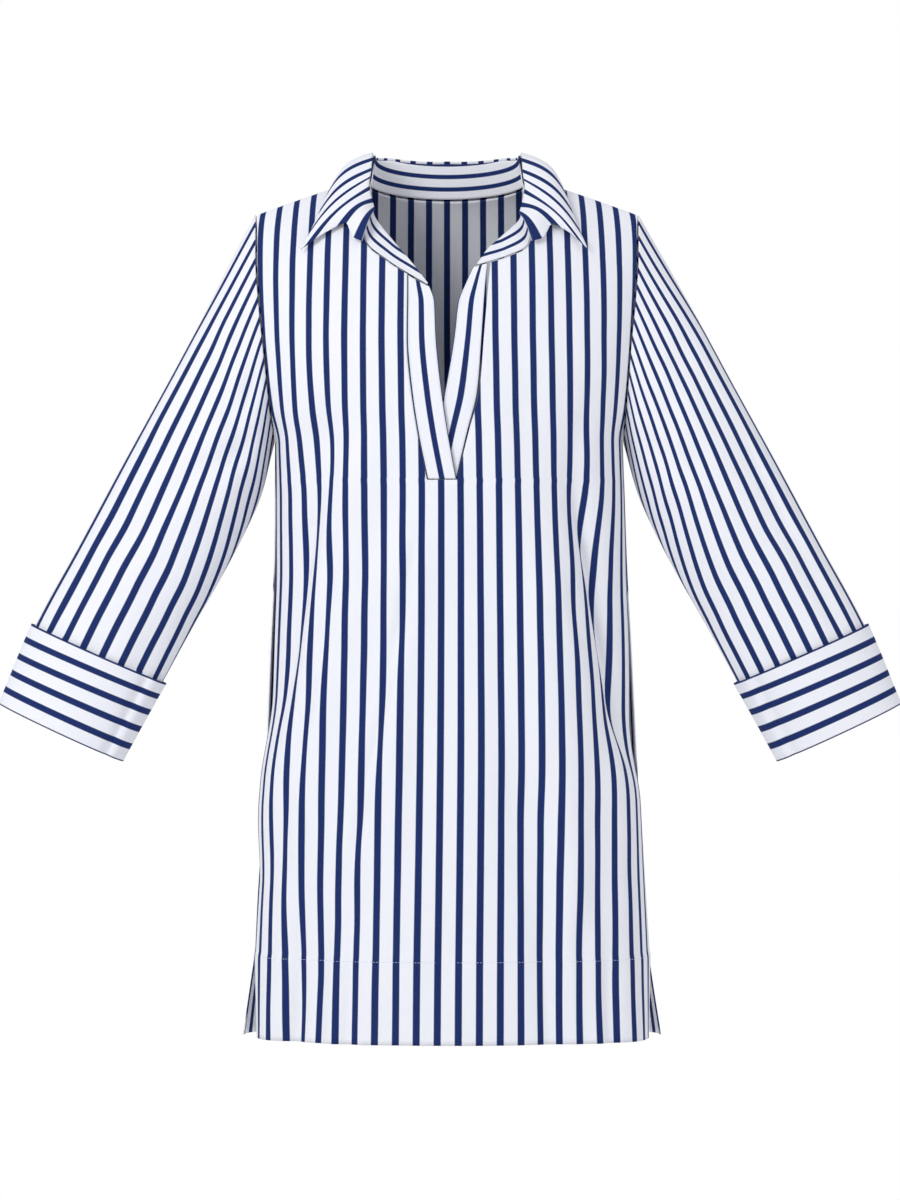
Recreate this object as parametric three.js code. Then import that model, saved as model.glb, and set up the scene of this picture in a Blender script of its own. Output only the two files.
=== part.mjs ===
// Beach tunic dress: a striped cotton popover, worn shape, hollow, standing open at neck, cuffs and hem.
// Millimetres, +Z up, the front faces -Y and +X is the wearer's left. The garment is drawn with heights
// above the hem, and the last lines set the origin at the wearer's shoulder line.
import * as THREE from 'three';

// Driving sizes
const WALL = 1.5; // cloth with its seam allowances
const HEM_WALL = 2.4; // the turned-up hem is two layers
const SEAM_GAP = 0.3;
const SHOULDER_LINE = 855; // height of the neck point of the shoulder seam above the hem
const HEM_DEPTH = 83;
const VENT_TOP = 78;
const VENT_SPREAD = 9; // how far each vent edge stands off the side line at the hem
const VENT_FLARE = 0.8; // the back's edge swings out by this share of it, the front's in
const BAND_TUCK = 2.4; // the left band's foot lies this far behind the right one
const STAND_CLEARANCE = 2.4; // the stand's foot off the neck seam
const STAND_CLEAR_MOST = 0.6; // as a share of the stand's height where that is small
const NECK_LENGTHS = 2.7; // turns a part of the front neck seam into a part of FRONT_NECK
const ARMPIT = 592;
const SLIT_BOTTOM = 553;
const NECK_HALF = 84;
const SHOULDER_HALF = 189;
const SHOULDER_DROP = 35; // from the neck point to the sleeve
const YOKE_START = 650; // above this height the panels round over to the shoulder seam
const YOKE_LENGTH = 290; // cloth length from there to the shoulder seam

// The body, a ring for each height: half width, depth to the front and to the back, and the middle's shift.
const BODY = [
  { z: 0, half: 201, front: 113, back: 106, shift: 2 },
  { z: 94, half: 195, front: 111, back: 102, shift: 1.5 },
  { z: 255, half: 185, front: 105, back: 95, shift: 1.5 },
  { z: 390, half: 179, front: 101, back: 90, shift: 1 },
  { z: 473, half: 175, front: 101, back: 89, shift: 0.5 },
  { z: 592, half: 173, front: 105, back: 94, shift: -1 },
  { z: 625, half: 183, front: 106, back: 97, shift: -2 },
  { z: 660, half: 191, front: 105, back: 99, shift: -2.5 },
  { z: 700, half: 197, front: 102, back: 101, shift: -3 },
  { z: 760, half: 202, front: 98, back: 101, shift: -3 },
  { z: 860, half: 205, front: 96, back: 100, shift: -3 },
  { z: 940, half: 207, front: 96, back: 100, shift: -3 },
];
const SQUARENESS = 2.25; // of each ring: 2 is an ellipse
const BACK_FULLNESS = 0.62; // the back keeps its depth further up than the front does
const FRONT_FULLNESS = 1.6; // and the front slopes back to the shoulders

// Half the distance between the two armhole seams, at each height of the surface.
const ARMHOLE = [
  { z: 592, half: 172.5 },
  { z: 610, half: 174 },
  { z: 640, half: 176.5 },
  { z: 690, half: 180.5 },
  { z: 740, half: 185 },
  { z: 800, half: 188.5 },
  { z: 870, half: 189 },
  { z: 940, half: 189 },
];

// Outer edges of the two placket bands, on either side of the V.
const BAND_LINES = [
  { z: 553, right: -22.5, left: 7 },
  { z: 600, right: -32, left: 18 },
  { z: 640, right: -38, left: 28 },
  { z: 690, right: -42.5, left: 32 },
  { z: 745, right: -42, left: 36 },
  { z: 790, right: -42, left: 40 },
];
// Inner edges of the two bands, the edges of the open V.
const SLIT_LINES = [
  { z: 553, right: 6.5, left: -21.5 },
  { z: 600, right: -2, left: -13 },
  { z: 633, right: -7, left: -6.5 },
  { z: 690, right: -13.5, left: 4 },
  { z: 722, right: -15, left: 8 },
  { z: 740, right: -21, left: 15 },
  { z: 765, right: -30, left: 26 },
];

// The front neckline for the wearer's right and left. At part 1 it meets the shoulder seam, at part 0 the
// placket band, and past that it crosses the band to the slit.
const FRONT_NECK = [
  { part: -0.35, rightX: -22, rightZ: 744, leftX: 27, leftZ: 764 },
  { part: 0, rightX: -42, rightZ: 756, leftX: 40, leftZ: 768 },
  { part: 0.3, rightX: -63, rightZ: 770, leftX: 58, leftZ: 774 },
  { part: 0.58, rightX: -84, rightZ: 790, leftX: 78, leftZ: 786 },
  { part: 0.78, rightX: -88, rightZ: 815, leftX: 82, leftZ: 812 },
  { part: 1, rightX: -85, rightZ: 855, leftX: 79, leftZ: 855 },
];
const BACK_NECK_DROP = 17;

// The sleeves, front view: the upper edge, the underarm edge and half the depth. The cuff starts at 1.
const SLEEVE = [
  { along: 0, topX: 191, topZ: 819, underX: 174, underZ: 590, depth: 46, forward: 0 },
  { along: 0.2, topX: 236, topZ: 737, underX: 187, underZ: 545, depth: 52, forward: 1 },
  { along: 0.4, topX: 280, topZ: 655, underX: 206, underZ: 502, depth: 52, forward: 3 },
  { along: 0.6, topX: 325, topZ: 573, underX: 229, underZ: 458, depth: 49, forward: 6 },
  { along: 0.8, topX: 369, topZ: 491, underX: 257, underZ: 409, depth: 45, forward: 9 },
  { along: 1, topX: 413, topZ: 410, underX: 287, underZ: 354, depth: 42, forward: 12 },
  { along: 1.19, topX: 447, topZ: 331, underX: 329, underZ: 276, depth: 41, forward: 14 },
];
const SLEEVE_START = 2.3; // the sleeve's first ring off the armhole edge
const CUFF_WALL = 2.2;
const CUFF_CLEARANCE = 2.4;
const CUFF_END = 1.19;

// The collar stand: where its top lies from the neck seam, from the middle of the back to the slit.
const STAND = [
  { part: 0, rise: 38, inward: 0, back: -5 },
  { part: 0.25, rise: 35, inward: 6, back: -4 },
  { part: 0.5, rise: 25, inward: 10, back: 2 },
  { part: 0.54, rise: 25, inward: 10, back: 7 },
  { part: 0.58, rise: 30, inward: 9, back: 14 },
  { part: 0.655, rise: 29, inward: 9, back: 22 },
  { part: 0.75, rise: 24, inward: 5, back: 22 },
  { part: 0.88, rise: 14, inward: 2, back: 13 },
  { part: 1, rise: 3, inward: 0, back: 3 },
];
// The collar leaf's outer edge over the same parts: its width from the middle, and how far past the shoulder
// seam it reaches, in cloth height, on the back (positive) or on the front (negative).
const LEAF = [
  { part: 0, rightX: 0, leftX: 0, over: 138 },
  { part: 0.2, rightX: -50, leftX: 50, over: 135 },
  { part: 0.36, rightX: -90, leftX: 90, over: 110 },
  { part: 0.43, rightX: -105, leftX: 105, over: 60 },
  { part: 0.48, rightX: -110, leftX: 111, over: 0 },
  { part: 0.515, rightX: -118, leftX: 117, over: -60 },
  { part: 0.545, rightX: -128, leftX: 125, over: -108 },
  { part: 0.58, rightX: -143, leftX: 137, over: -149 },
  { part: 0.605, rightX: -119, leftX: 121, over: -133 },
  { part: 0.63, rightX: -99, leftX: 103, over: -126 },
  { part: 0.642, rightX: -92, leftX: 94, over: -148 },
  { part: 0.655, rightX: -83, leftX: 83, over: -155 },
];
const LEAF_PARTS = [0, 0.08, 0.16, 0.24, 0.32, 0.38, 0.43, 0.48, 0.515, 0.545, 0.563, 0.58, 0.593, 0.605, 0.618,
  0.63, 0.642, 0.655];
const LEAF_LIFT = 6; // the leaf's edge above the panel it lies on
const LEAF_LEAST = 4.5; // from front to back
const LEAF_ROLL = 8;
const LEAF_CLEARANCE = 2.2; // off the top of the stand, up and out

// The largest folds: a soft trough or ridge along a slanting line. depth is outwards.
const FRONT_FOLDS = [
  { topZ: 640, topX: -118, lowZ: 255, lowX: -180, width: 26, depth: -9 },
  { topZ: 620, topX: -92, lowZ: 150, lowX: -178, width: 34, depth: 10 },
  { topZ: 560, topX: -24, lowZ: 110, lowX: -118, width: 30, depth: 8 },
  { topZ: 470, topX: -52, lowZ: 0, lowX: -158, width: 24, depth: -8 },
  { topZ: 600, topX: 116, lowZ: 230, lowX: 184, width: 18, depth: -9 },
  { topZ: 520, topX: 96, lowZ: 0, lowX: 128, width: 30, depth: 8 },
  { topZ: 300, topX: 60, lowZ: 0, lowX: 104, width: 22, depth: -7 },
  { topZ: 330, topX: 160, lowZ: 0, lowX: 172, width: 22, depth: 7 },
];
const BACK_FOLDS = [
  { topZ: 640, topX: -120, lowZ: 60, lowX: -150, width: 32, depth: 9 },
  { topZ: 560, topX: -60, lowZ: 0, lowX: -92, width: 30, depth: -8 },
  { topZ: 700, topX: 10, lowZ: 0, lowX: -20, width: 34, depth: 7 },
  { topZ: 540, topX: 66, lowZ: 0, lowX: 88, width: 28, depth: -8 },
  { topZ: 630, topX: 122, lowZ: 30, lowX: 152, width: 30, depth: 9 },
];
const FOLD_FADE = 90; // each fold dies out over this height at its upper end
const SLEEVE_FOLDS = [
  { from: 0.5, to: 1, angle: 62, width: 20, depth: -7 },
  { from: 0.05, to: 0.45, angle: 118, width: 22, depth: -7 },
  { from: 0.15, to: 0.8, angle: -60, width: 26, depth: -6 },
];

// Grid counts
const SIDE_COLUMNS = 14;
const PANEL_HEIGHTS = [0, 28, 56, 83, 140, 200, 260, 320, 380, 440, 500, 553];
const YOKE_ROWS = 10;
const SLEEVE_SIDES = 24;
const SLEEVE_ROWS = 13;
const CUFF_ROWS = 3;
const NECK_COLUMNS = 6;
const STAND_ROWS = 2;
const LEAF_ROWS = 4;
const BAND_ROWS = 14;

// ---------------------------------------------------------------- small helpers
const clamp01 = (value) => Math.min(1, Math.max(0, value));
const mix = (a, b, part) => a + (b - a) * part;
const ease = (part) => part * part * (3 - 2 * part);
const quarter = Math.PI / 2;

// A smooth value between the rows of a table, by a cubic through them that never overshoots.
function tableValue(rows, keyName, valueName, key) {
  const last = rows.length - 1;
  let i = 0;
  while (i < last - 1 && key > rows[i + 1][keyName]) i += 1;
  const slope = (a, b) => (rows[b][valueName] - rows[a][valueName]) / (rows[b][keyName] - rows[a][keyName]);
  const tangent = (k) => {
    const before = slope(Math.max(k - 1, 0), Math.max(k, 1));
    const after = slope(Math.min(k, last - 1), Math.min(k + 1, last));
    return before * after <= 0 ? 0 : (2 * before * after) / (before + after);
  };
  const span = rows[i + 1][keyName] - rows[i][keyName];
  const t = clamp01((key - rows[i][keyName]) / span);
  const start = rows[i][valueName];
  const end = rows[i + 1][valueName];
  const bend = tangent(i) * span * (t ** 3 - 2 * t * t + t) + tangent(i + 1) * span * (t ** 3 - t * t);
  return mix(start, end, ease(t)) + bend;
}

const shoulderHeight = (x) => {
  const out = Math.max(0, Math.abs(x) - NECK_HALF) / (SHOULDER_HALF - NECK_HALF);
  return SHOULDER_LINE - SHOULDER_DROP * out ** 1.1;
};

// ---------------------------------------------------------------- the body's surface
// A point on the front (side -1) or back (side 1) surface at a width x from the middle and a cloth
// height t. Up to YOKE_START t is the height; above it the cloth rounds over to the shoulder seam.
function bodyPoint(side, x, t) {
  const over = clamp01((t - YOKE_START) / YOKE_LENGTH) * quarter;
  const z = t <= YOKE_START ? t : YOKE_START + (shoulderHeight(x) - YOKE_START) * Math.sin(over);
  const half = tableValue(BODY, 'z', 'half', t);
  const deep = tableValue(BODY, 'z', side < 0 ? 'front' : 'back', t);
  const fullness = side < 0 ? FRONT_FULLNESS : BACK_FULLNESS;
  const across = Math.max(0, 1 - Math.min(1, Math.abs(x) / half) ** SQUARENESS) ** (1 / SQUARENESS);
  const y = side * deep * across * Math.max(0, Math.cos(over)) ** fullness;
  return new THREE.Vector3(x + tableValue(BODY, 'z', 'shift', t), y, z);
}

// The cloth height at which the surface reaches a true height z.
function clothHeight(x, z) {
  if (z <= YOKE_START) return z;
  const rise = clamp01((z - YOKE_START) / (shoulderHeight(x) - YOKE_START));
  return YOKE_START + (Math.asin(rise) / quarter) * YOKE_LENGTH;
}

const panelEdge = (t) =>
  t <= ARMPIT ? tableValue(BODY, 'z', 'half', t) : tableValue(ARMHOLE, 'z', 'half', t);

// Widths from the inner to the outer edge of a row, evenly spaced along the cloth.
function evenWidths(side, inner, outer, t, count) {
  const steps = 60;
  const widths = [];
  const lengths = [0];
  for (let i = 0; i <= steps; i += 1) {
    widths.push(inner + (outer - inner) * Math.sin((i / steps) * quarter));
    if (i > 0) {
      const step = bodyPoint(side, widths[i], t).distanceTo(bodyPoint(side, widths[i - 1], t));
      lengths.push(lengths[i - 1] + step);
    }
  }
  return (part) => {
    const wanted = part * lengths[steps];
    let i = 1;
    while (i < steps && lengths[i] < wanted) i += 1;
    return mix(widths[i - 1], widths[i], clamp01((wanted - lengths[i - 1]) / (lengths[i] - lengths[i - 1])));
  };
}

// How far the folds push the cloth out at a place on a panel.
function foldDepth(folds, x, t) {
  let sum = 0;
  for (const fold of folds) {
    const down = (fold.topZ - t) / (fold.topZ - fold.lowZ);
    const middle = mix(fold.topX, fold.lowX, down);
    const fadeIn = clamp01((fold.topZ - t) / FOLD_FADE);
    const fadeOut = fold.lowZ <= 0 ? 1 : clamp01((t - fold.lowZ) / FOLD_FADE);
    const across = (x - middle) / fold.width;
    sum += fold.depth * ease(fadeIn) * ease(fadeOut) * Math.exp(-across * across);
  }
  return sum;
}

// ---------------------------------------------------------------- walls
// Normals of a grid of points, rows by columns. A grid may close on itself across its columns.
function gridNormals(grid, closed) {
  const rows = grid.length;
  const columns = grid[0].length;
  return grid.map((row, r) =>
    row.map((point, c) => {
      const before = closed ? (c + columns - 1) % columns : Math.max(c - 1, 0);
      const after = closed ? (c + 1) % columns : Math.min(c + 1, columns - 1);
      const along = row[after].clone().sub(row[before]);
      const up = grid[Math.min(r + 1, rows - 1)][c].clone().sub(grid[Math.max(r - 1, 0)][c]);
      return along.cross(up).normalize();
    }),
  );
}

// A closed wall around a grid of points: an outer and an inner skin, joined round every open edge.
// keep says which cells there are, thickness gives the wall at each row, and square names the points at a
// seam across y = 0, where the wall's edge is kept square to its neighbour's.
function wall(grid, { closed = false, keep = () => true, thickness = () => WALL, square = () => false }) {
  const rows = grid.length;
  const columns = grid[0].length;
  const normals = gridNormals(grid, closed);
  normals.forEach((row, r) =>
    row.forEach((normal, c) => {
      if (square(r, c)) normal.setY(0).normalize();
    }),
  );
  const positions = [];
  for (const sign of [1, -1]) {
    grid.forEach((row, r) =>
      row.forEach((point, c) => {
        const moved = point.clone().addScaledVector(normals[r][c], (sign * thickness(r)) / 2);
        positions.push(moved.x, moved.y, moved.z);
      }),
    );
  }
  const at = (r, c, skin) => skin * rows * columns + r * columns + (c % columns);
  const index = [];
  const quad = (a, b, c, d) => index.push(a, b, c, a, c, d);
  const last = closed ? columns : columns - 1;
  const cell = (r, c) => {
    if (r < 0 || r >= rows - 1) return false;
    if (!closed && (c < 0 || c >= last)) return false;
    return keep(r, (c + columns) % columns);
  };
  for (let r = 0; r < rows - 1; r += 1) {
    for (let c = 0; c < last; c += 1) {
      if (!cell(r, c)) continue;
      quad(at(r, c, 0), at(r, c + 1, 0), at(r + 1, c + 1, 0), at(r + 1, c, 0));
      quad(at(r, c, 1), at(r + 1, c, 1), at(r + 1, c + 1, 1), at(r, c + 1, 1));
      if (!cell(r - 1, c)) quad(at(r, c, 0), at(r, c, 1), at(r, c + 1, 1), at(r, c + 1, 0));
      if (!cell(r + 1, c)) quad(at(r + 1, c, 0), at(r + 1, c + 1, 0), at(r + 1, c + 1, 1), at(r + 1, c, 1));
      if (!cell(r, c - 1)) quad(at(r, c, 0), at(r + 1, c, 0), at(r + 1, c, 1), at(r, c, 1));
      if (!cell(r, c + 1)) quad(at(r, c + 1, 0), at(r, c + 1, 1), at(r + 1, c + 1, 1), at(r + 1, c + 1, 0));
    }
  }
  const geometry = new THREE.BufferGeometry();
  geometry.setAttribute('position', new THREE.Float32BufferAttribute(usedOnly(positions, index), 3));
  geometry.setIndex(index);
  geometry.computeVertexNormals();
  return geometry;
}

// Drops the points that no face uses and renumbers the index in place.
function usedOnly(positions, index) {
  const numbers = new Map();
  const kept = [];
  index.forEach((old, i) => {
    if (!numbers.has(old)) {
      numbers.set(old, numbers.size);
      kept.push(positions[old * 3], positions[old * 3 + 1], positions[old * 3 + 2]);
    }
    index[i] = numbers.get(old);
  });
  return kept;
}

// ---------------------------------------------------------------- places on the panels
const shiftAt = (t) => tableValue(BODY, 'z', 'shift', t);
const handName = (hand) => (hand < 0 ? 'right' : 'left');
const bandLine = (hand, t) => tableValue(BAND_LINES, 'z', handName(hand), t) - shiftAt(t);
const slitLine = (hand, t) => tableValue(SLIT_LINES, 'z', handName(hand), t) - shiftAt(t);
const NECK_SHIFT = shiftAt(YOKE_START + YOKE_LENGTH);

// A place on the front neckline, as a width from the middle and a cloth height.
function frontNeck(hand, part) {
  const x = tableValue(FRONT_NECK, 'part', `${handName(hand)}X`, part) - NECK_SHIFT;
  return { x, t: clothHeight(x, tableValue(FRONT_NECK, 'part', `${handName(hand)}Z`, part)) };
}

function backNeck(hand, part) {
  const x = frontNeck(hand, 1).x * Math.sin(part * quarter);
  return { x, t: clothHeight(x, SHOULDER_LINE - BACK_NECK_DROP * Math.cos(part * quarter)) };
}

// Where a column ends: on the neckline up to NECK_PART of the way out, then on the shoulder seam.
const NECK_PART = NECK_COLUMNS / SIDE_COLUMNS;
function panelTop(side, hand, part) {
  if (part < NECK_PART) return (side < 0 ? frontNeck : backNeck)(hand, part / NECK_PART);
  const along = (part - NECK_PART) / (1 - NECK_PART);
  return { x: mix(frontNeck(hand, 1).x, hand * SHOULDER_HALF, along), t: YOKE_START + YOKE_LENGTH };
}

const innerEdge = (side, hand, t) => (side < 0 ? bandLine(hand, Math.max(t, SLIT_BOTTOM)) : 0);
const outerEdge = (hand, t) => hand * panelEdge(t);

// The columns of half a row below the slit's foot.
function lowerRow(side, hand, t) {
  const widthAt = evenWidths(side, innerEdge(side, hand, t), outerEdge(hand, t), t);
  return columnParts.map((part) => ({ x: widthAt(part), t }));
}

// The columns of half a row above it, a share of each column's way up to the neckline or the shoulder.
function yokeRow(side, hand, share) {
  const foot = lowerRow(side, hand, SLIT_BOTTOM);
  const shareOut = (x, t) => (x - innerEdge(side, hand, t)) / (outerEdge(hand, t) - innerEdge(side, hand, t));
  return columnParts.map((part, c) => {
    const top = panelTop(side, hand, part);
    const t = mix(SLIT_BOTTOM, top.t, share);
    const out = mix(shareOut(foot[c].x, SLIT_BOTTOM), shareOut(top.x, top.t), share ** 1.5);
    return { x: mix(innerEdge(side, hand, t), outerEdge(hand, t), out), t };
  });
}
const columnParts = Array.from({ length: SIDE_COLUMNS + 1 }, (_, c) => c / SIDE_COLUMNS);

// The point for a place, with its folds and, near the hem, its open side vent.
function clothPoint(side, place, folds) {
  const point = bodyPoint(side, place.x, place.t);
  const nearX = bodyPoint(side, place.x + 1, place.t).sub(bodyPoint(side, place.x - 1, place.t));
  const outward = new THREE.Vector3(-side * nearX.y, side * nearX.x, 0).normalize();
  point.addScaledVector(outward, foldDepth(folds, place.x, place.t));
  const edge = panelEdge(place.t);
  const toSide = clamp01((Math.abs(place.x) / edge - 0.8) / 0.2);
  const open = clamp01(1 - place.t / VENT_TOP) * VENT_SPREAD * toSide * toSide;
  point.y += side * (SEAM_GAP / 2 + open);
  point.x += Math.sign(place.x) * side * open * VENT_FLARE;
  return point;
}

// ---------------------------------------------------------------- the pieces
function panel(side, folds) {
  const rows = PANEL_HEIGHTS.map((t) => [-1, 1].map((hand) => lowerRow(side, hand, t)));
  for (let r = 1; r <= YOKE_ROWS; r += 1) {
    rows.push([-1, 1].map((hand) => yokeRow(side, hand, r / YOKE_ROWS)));
  }
  const grid = rows.map(([right, left]) => {
    const places = [...right.slice().reverse(), ...(side < 0 ? left : left.slice(1))];
    const points = places.map((place) => clothPoint(side, place, folds));
    return side < 0 ? points : points.reverse();
  });
  const footRow = PANEL_HEIGHTS.length - 1;
  const keep = (r, c) => side > 0 || r < footRow || c !== SIDE_COLUMNS;
  const thickness = (r) => (PANEL_HEIGHTS[r] <= HEM_DEPTH ? HEM_WALL : WALL);
  const last = grid[0].length - 1;
  const square = (r, c) => c === 0 || c === last || r === grid.length - 1;
  return wall(grid, { keep, thickness, square });
}

// The two bands of the V. The wearer's right band lies on the left one at the foot of the slit.
function placket(hand) {
  const grid = [];
  for (let r = 0; r <= BAND_ROWS; r += 1) {
    const share = r / BAND_ROWS;
    const outerTop = frontNeck(hand, 0).t;
    const innerTop = frontNeck(hand, -0.35).t;
    const row = [0, 0.5, 1].map((across) => {
      const t = mix(SLIT_BOTTOM + SEAM_GAP + WALL / 2, mix(outerTop, innerTop, across) - 1, share);
      const x = mix(bandLine(hand, t) - hand * 2 * SEAM_GAP, slitLine(hand, t), across);
      const point = clothPoint(-1, { x, t }, FRONT_FOLDS);
      const under = hand > 0 ? BAND_TUCK * (1 - ease(clamp01((share - 0.25) / 0.5))) : 0;
      point.y += under;
      return point;
    });
    grid.push(hand > 0 ? row.reverse() : row);
  }
  return wall(grid, {});
}

// Points along a path, evenly spaced by length.
function evenly(path, count) {
  const lengths = path.reduce((sums, point, i) => {
    sums.push(i === 0 ? 0 : sums[i - 1] + point.distanceTo(path[i - 1]));
    return sums;
  }, []);
  return Array.from({ length: count + 1 }, (_, k) => {
    const wanted = (k / count) * lengths[lengths.length - 1];
    let i = 1;
    while (i < path.length - 1 && lengths[i] < wanted) i += 1;
    const part = clamp01((wanted - lengths[i - 1]) / (lengths[i] - lengths[i - 1]));
    return path[i - 1].clone().lerp(path[i], part);
  });
}

// The armhole's edge from the shoulder seam down to the armpit, on one side of the body.
function armholeEdge(side, hand) {
  const top = YOKE_START + YOKE_LENGTH;
  const path = Array.from({ length: 41 }, (_, i) => {
    const t = mix(top, ARMPIT, i / 40);
    return clothPoint(side, { x: outerEdge(hand, t), t }, []);
  });
  return evenly(path, SLEEVE_SIDES / 2);
}

// One ring of a sleeve. It starts on the shoulder and turns by the back, the underarm and the front.
function sleeveRing(hand, along, offset) {
  const value = (name) => tableValue(SLEEVE, 'along', name, along);
  const top = new THREE.Vector3(hand * value('topX'), -value('forward'), value('topZ'));
  const under = new THREE.Vector3(hand * value('underX'), -value('forward'), value('underZ'));
  const middle = top.clone().lerp(under, 0.5);
  const reach = top.clone().sub(middle);
  const grow = 1 + offset / reach.length();
  return Array.from({ length: SLEEVE_SIDES }, (_, i) => {
    const angle = (i / SLEEVE_SIDES) * 2 * Math.PI;
    const point = middle.clone().addScaledVector(reach, Math.cos(angle) * grow);
    point.y += Math.sin(angle) * (value('depth') + offset + sleeveFold(along, angle));
    return point;
  });
}

function sleeveFold(along, angle) {
  return SLEEVE_FOLDS.reduce((sum, fold) => {
    const turn = THREE.MathUtils.radToDeg(angle) - (fold.angle + 360) % 360;
    const across = turn / fold.width;
    const length = clamp01((along - fold.from) / 0.15) * clamp01((fold.to - along) / 0.15);
    return sum + fold.depth * ease(length) * Math.exp(-across * across);
  }, 0);
}

function sleeve(hand) {
  const backEdge = armholeEdge(1, hand);
  const frontEdge = armholeEdge(-1, hand);
  const half = SLEEVE_SIDES / 2;
  const start = Array.from({ length: SLEEVE_SIDES }, (_, i) => (i <= half ? backEdge[i] : frontEdge[2 * half - i]));
  const seam = start.map((point) => point.clone().add(new THREE.Vector3(hand * SLEEVE_START, 0, 0)));
  const grid = [];
  for (let r = 0; r <= SLEEVE_ROWS; r += 1) {
    const along = (r / SLEEVE_ROWS) * (CUFF_END - 0.008);
    const blend = ease(clamp01(along / 0.3));
    grid.push(sleeveRing(hand, along, 0).map((point, i) => {
      const drift = seam[i].clone().sub(sleeveRing(hand, 0, 0)[i]);
      return point.addScaledVector(drift, 1 - blend);
    }));
  }
  return wall(orient(grid, hand), { closed: true });
}

// A ring's points run so that the wall's outer skin faces out on either arm.
const orient = (grid, hand) => (hand < 0 ? grid : grid.map((row) => row.slice().reverse()));

function cuff(hand) {
  const grid = [];
  for (let r = 0; r <= CUFF_ROWS; r += 1) {
    grid.push(sleeveRing(hand, mix(1, CUFF_END, r / CUFF_ROWS), CUFF_CLEARANCE));
  }
  return wall(orient(grid, hand), { closed: true, thickness: () => CUFF_WALL });
}

// The neck seam all round: part 0 is the middle of the back, 0.5 the shoulder seam and 1 the slit.
function neckPoint(hand, part) {
  if (part <= 0.5) return clothPoint(1, backNeck(hand, part * 2), []);
  return clothPoint(-1, frontNeck(hand, 1 - (part - 0.5) * NECK_LENGTHS), []);
}

function foldPoint(hand, part) {
  const value = (name) => tableValue(STAND, 'part', name, part);
  const lift = new THREE.Vector3(-hand * value('inward'), value('back'), value('rise'));
  return neckPoint(hand, part).add(lift);
}

// The collar's stations for both hands, from the wearer's left front round the back to the right front.
const aroundNeck = (parts) => [
  ...parts.slice(1).reverse().map((part) => ({ hand: 1, part })),
  ...parts.map((part) => ({ hand: -1, part })),
];

function collarStand() {
  const steps = Array.from({ length: NECK_COLUMNS + 1 }, (_, k) => k / NECK_COLUMNS);
  const parts = [...steps.map((step) => step / 2), ...steps.slice(1).map((step) => 0.5 + step / NECK_LENGTHS), 1];
  const stations = aroundNeck(parts);
  const grid = [];
  for (let r = 0; r <= STAND_ROWS; r += 1) {
    grid.push(stations.map(({ hand, part }) => {
      const foot = neckPoint(hand, part);
      const rise = foldPoint(hand, part).sub(foot);
      const clear = Math.min(STAND_CLEARANCE / rise.length(), STAND_CLEAR_MOST);
      return foot.addScaledVector(rise, mix(clear, 1, r / STAND_ROWS));
    }));
  }
  return wall(grid, {});
}

// The way out of the collar at a station: the mean of the stand's own and of the panel's below the leaf.
function outOfCollar(hand, part, place, side) {
  const rise = foldPoint(hand, part).sub(neckPoint(hand, part));
  const along = neckPoint(hand, Math.min(part + 0.01, 1)).sub(neckPoint(hand, Math.max(part - 0.01, 0)));
  const stand = along.cross(rise).multiplyScalar(-hand).normalize();
  const acrossPanel = clothPoint(side, { x: place.x + 2, t: place.t }, [])
    .sub(clothPoint(side, { x: place.x - 2, t: place.t }, []));
  const upPanel = clothPoint(side, { x: place.x, t: place.t }, [])
    .sub(clothPoint(side, { x: place.x, t: place.t - 4 }, []));
  const below = acrossPanel.cross(upPanel).multiplyScalar(-side).normalize();
  return { stand, below };
}

// A point of the leaf, moved out where the panel below would come too near it.
function clearOfPanel(point) {
  const x = point.x - NECK_SHIFT;
  const side = Math.sign(point.y);
  if (side === 0 || point.z >= shoulderHeight(x) - 2 || Math.abs(x) < NECK_HALF) return point;
  const least = Math.abs(bodyPoint(side, x, clothHeight(x, point.z)).y) + LEAF_LEAST;
  point.y = side * Math.max(Math.abs(point.y), least);
  return point;
}

function collarLeaf() {
  const top = YOKE_START + YOKE_LENGTH;
  const stations = aroundNeck(LEAF_PARTS).map(({ hand, part }) => {
    const over = tableValue(LEAF, 'part', 'over', part);
    const side = over > 0 ? 1 : -1;
    const place = { x: tableValue(LEAF, 'part', `${handName(hand)}X`, part), t: top - Math.abs(over) };
    const { stand, below } = outOfCollar(hand, part, place, side);
    const edge = clothPoint(side, place, []).addScaledVector(below, LEAF_LIFT);
    const fold = foldPoint(hand, part).addScaledVector(stand, LEAF_CLEARANCE);
    fold.z += LEAF_CLEARANCE;
    return { fold, edge, out: stand.add(below).normalize() };
  });
  const grid = [];
  for (let r = 0; r <= LEAF_ROWS; r += 1) {
    const up = r / LEAF_ROWS;
    grid.push(stations.map(({ fold, edge, out }) => {
      const point = edge.clone().lerp(fold, up).addScaledVector(out, LEAF_ROLL * Math.sin(Math.PI * up));
      return clearOfPanel(point);
    }));
  }
  return wall(grid, {});
}

// ---------------------------------------------------------------- the garment
const cotton = (name, colour) => new THREE.MeshStandardMaterial({ name, color: colour, roughness: 0.85, metalness: 0 });
const striped = cotton('striped_cotton', 0xa9b1cb);
const pieces = {
  front_panel: panel(-1, FRONT_FOLDS),
  back_panel: panel(1, BACK_FOLDS),
  placket_right: placket(-1),
  placket_left: placket(1),
  sleeve_right: sleeve(-1),
  sleeve_left: sleeve(1),
  cuff_right: cuff(-1),
  cuff_left: cuff(1),
  collar_stand: collarStand(),
  collar_leaf: collarLeaf(),
};

const garment = new THREE.Group();
for (const [name, geometry] of Object.entries(pieces)) {
  const mesh = new THREE.Mesh(geometry, striped);
  mesh.name = name;
  garment.add(mesh);
}
garment.position.z = -SHOULDER_LINE;

export default garment;
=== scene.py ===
"""A beach tunic dress of striped cotton poplin, in worn form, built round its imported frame."""

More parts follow.
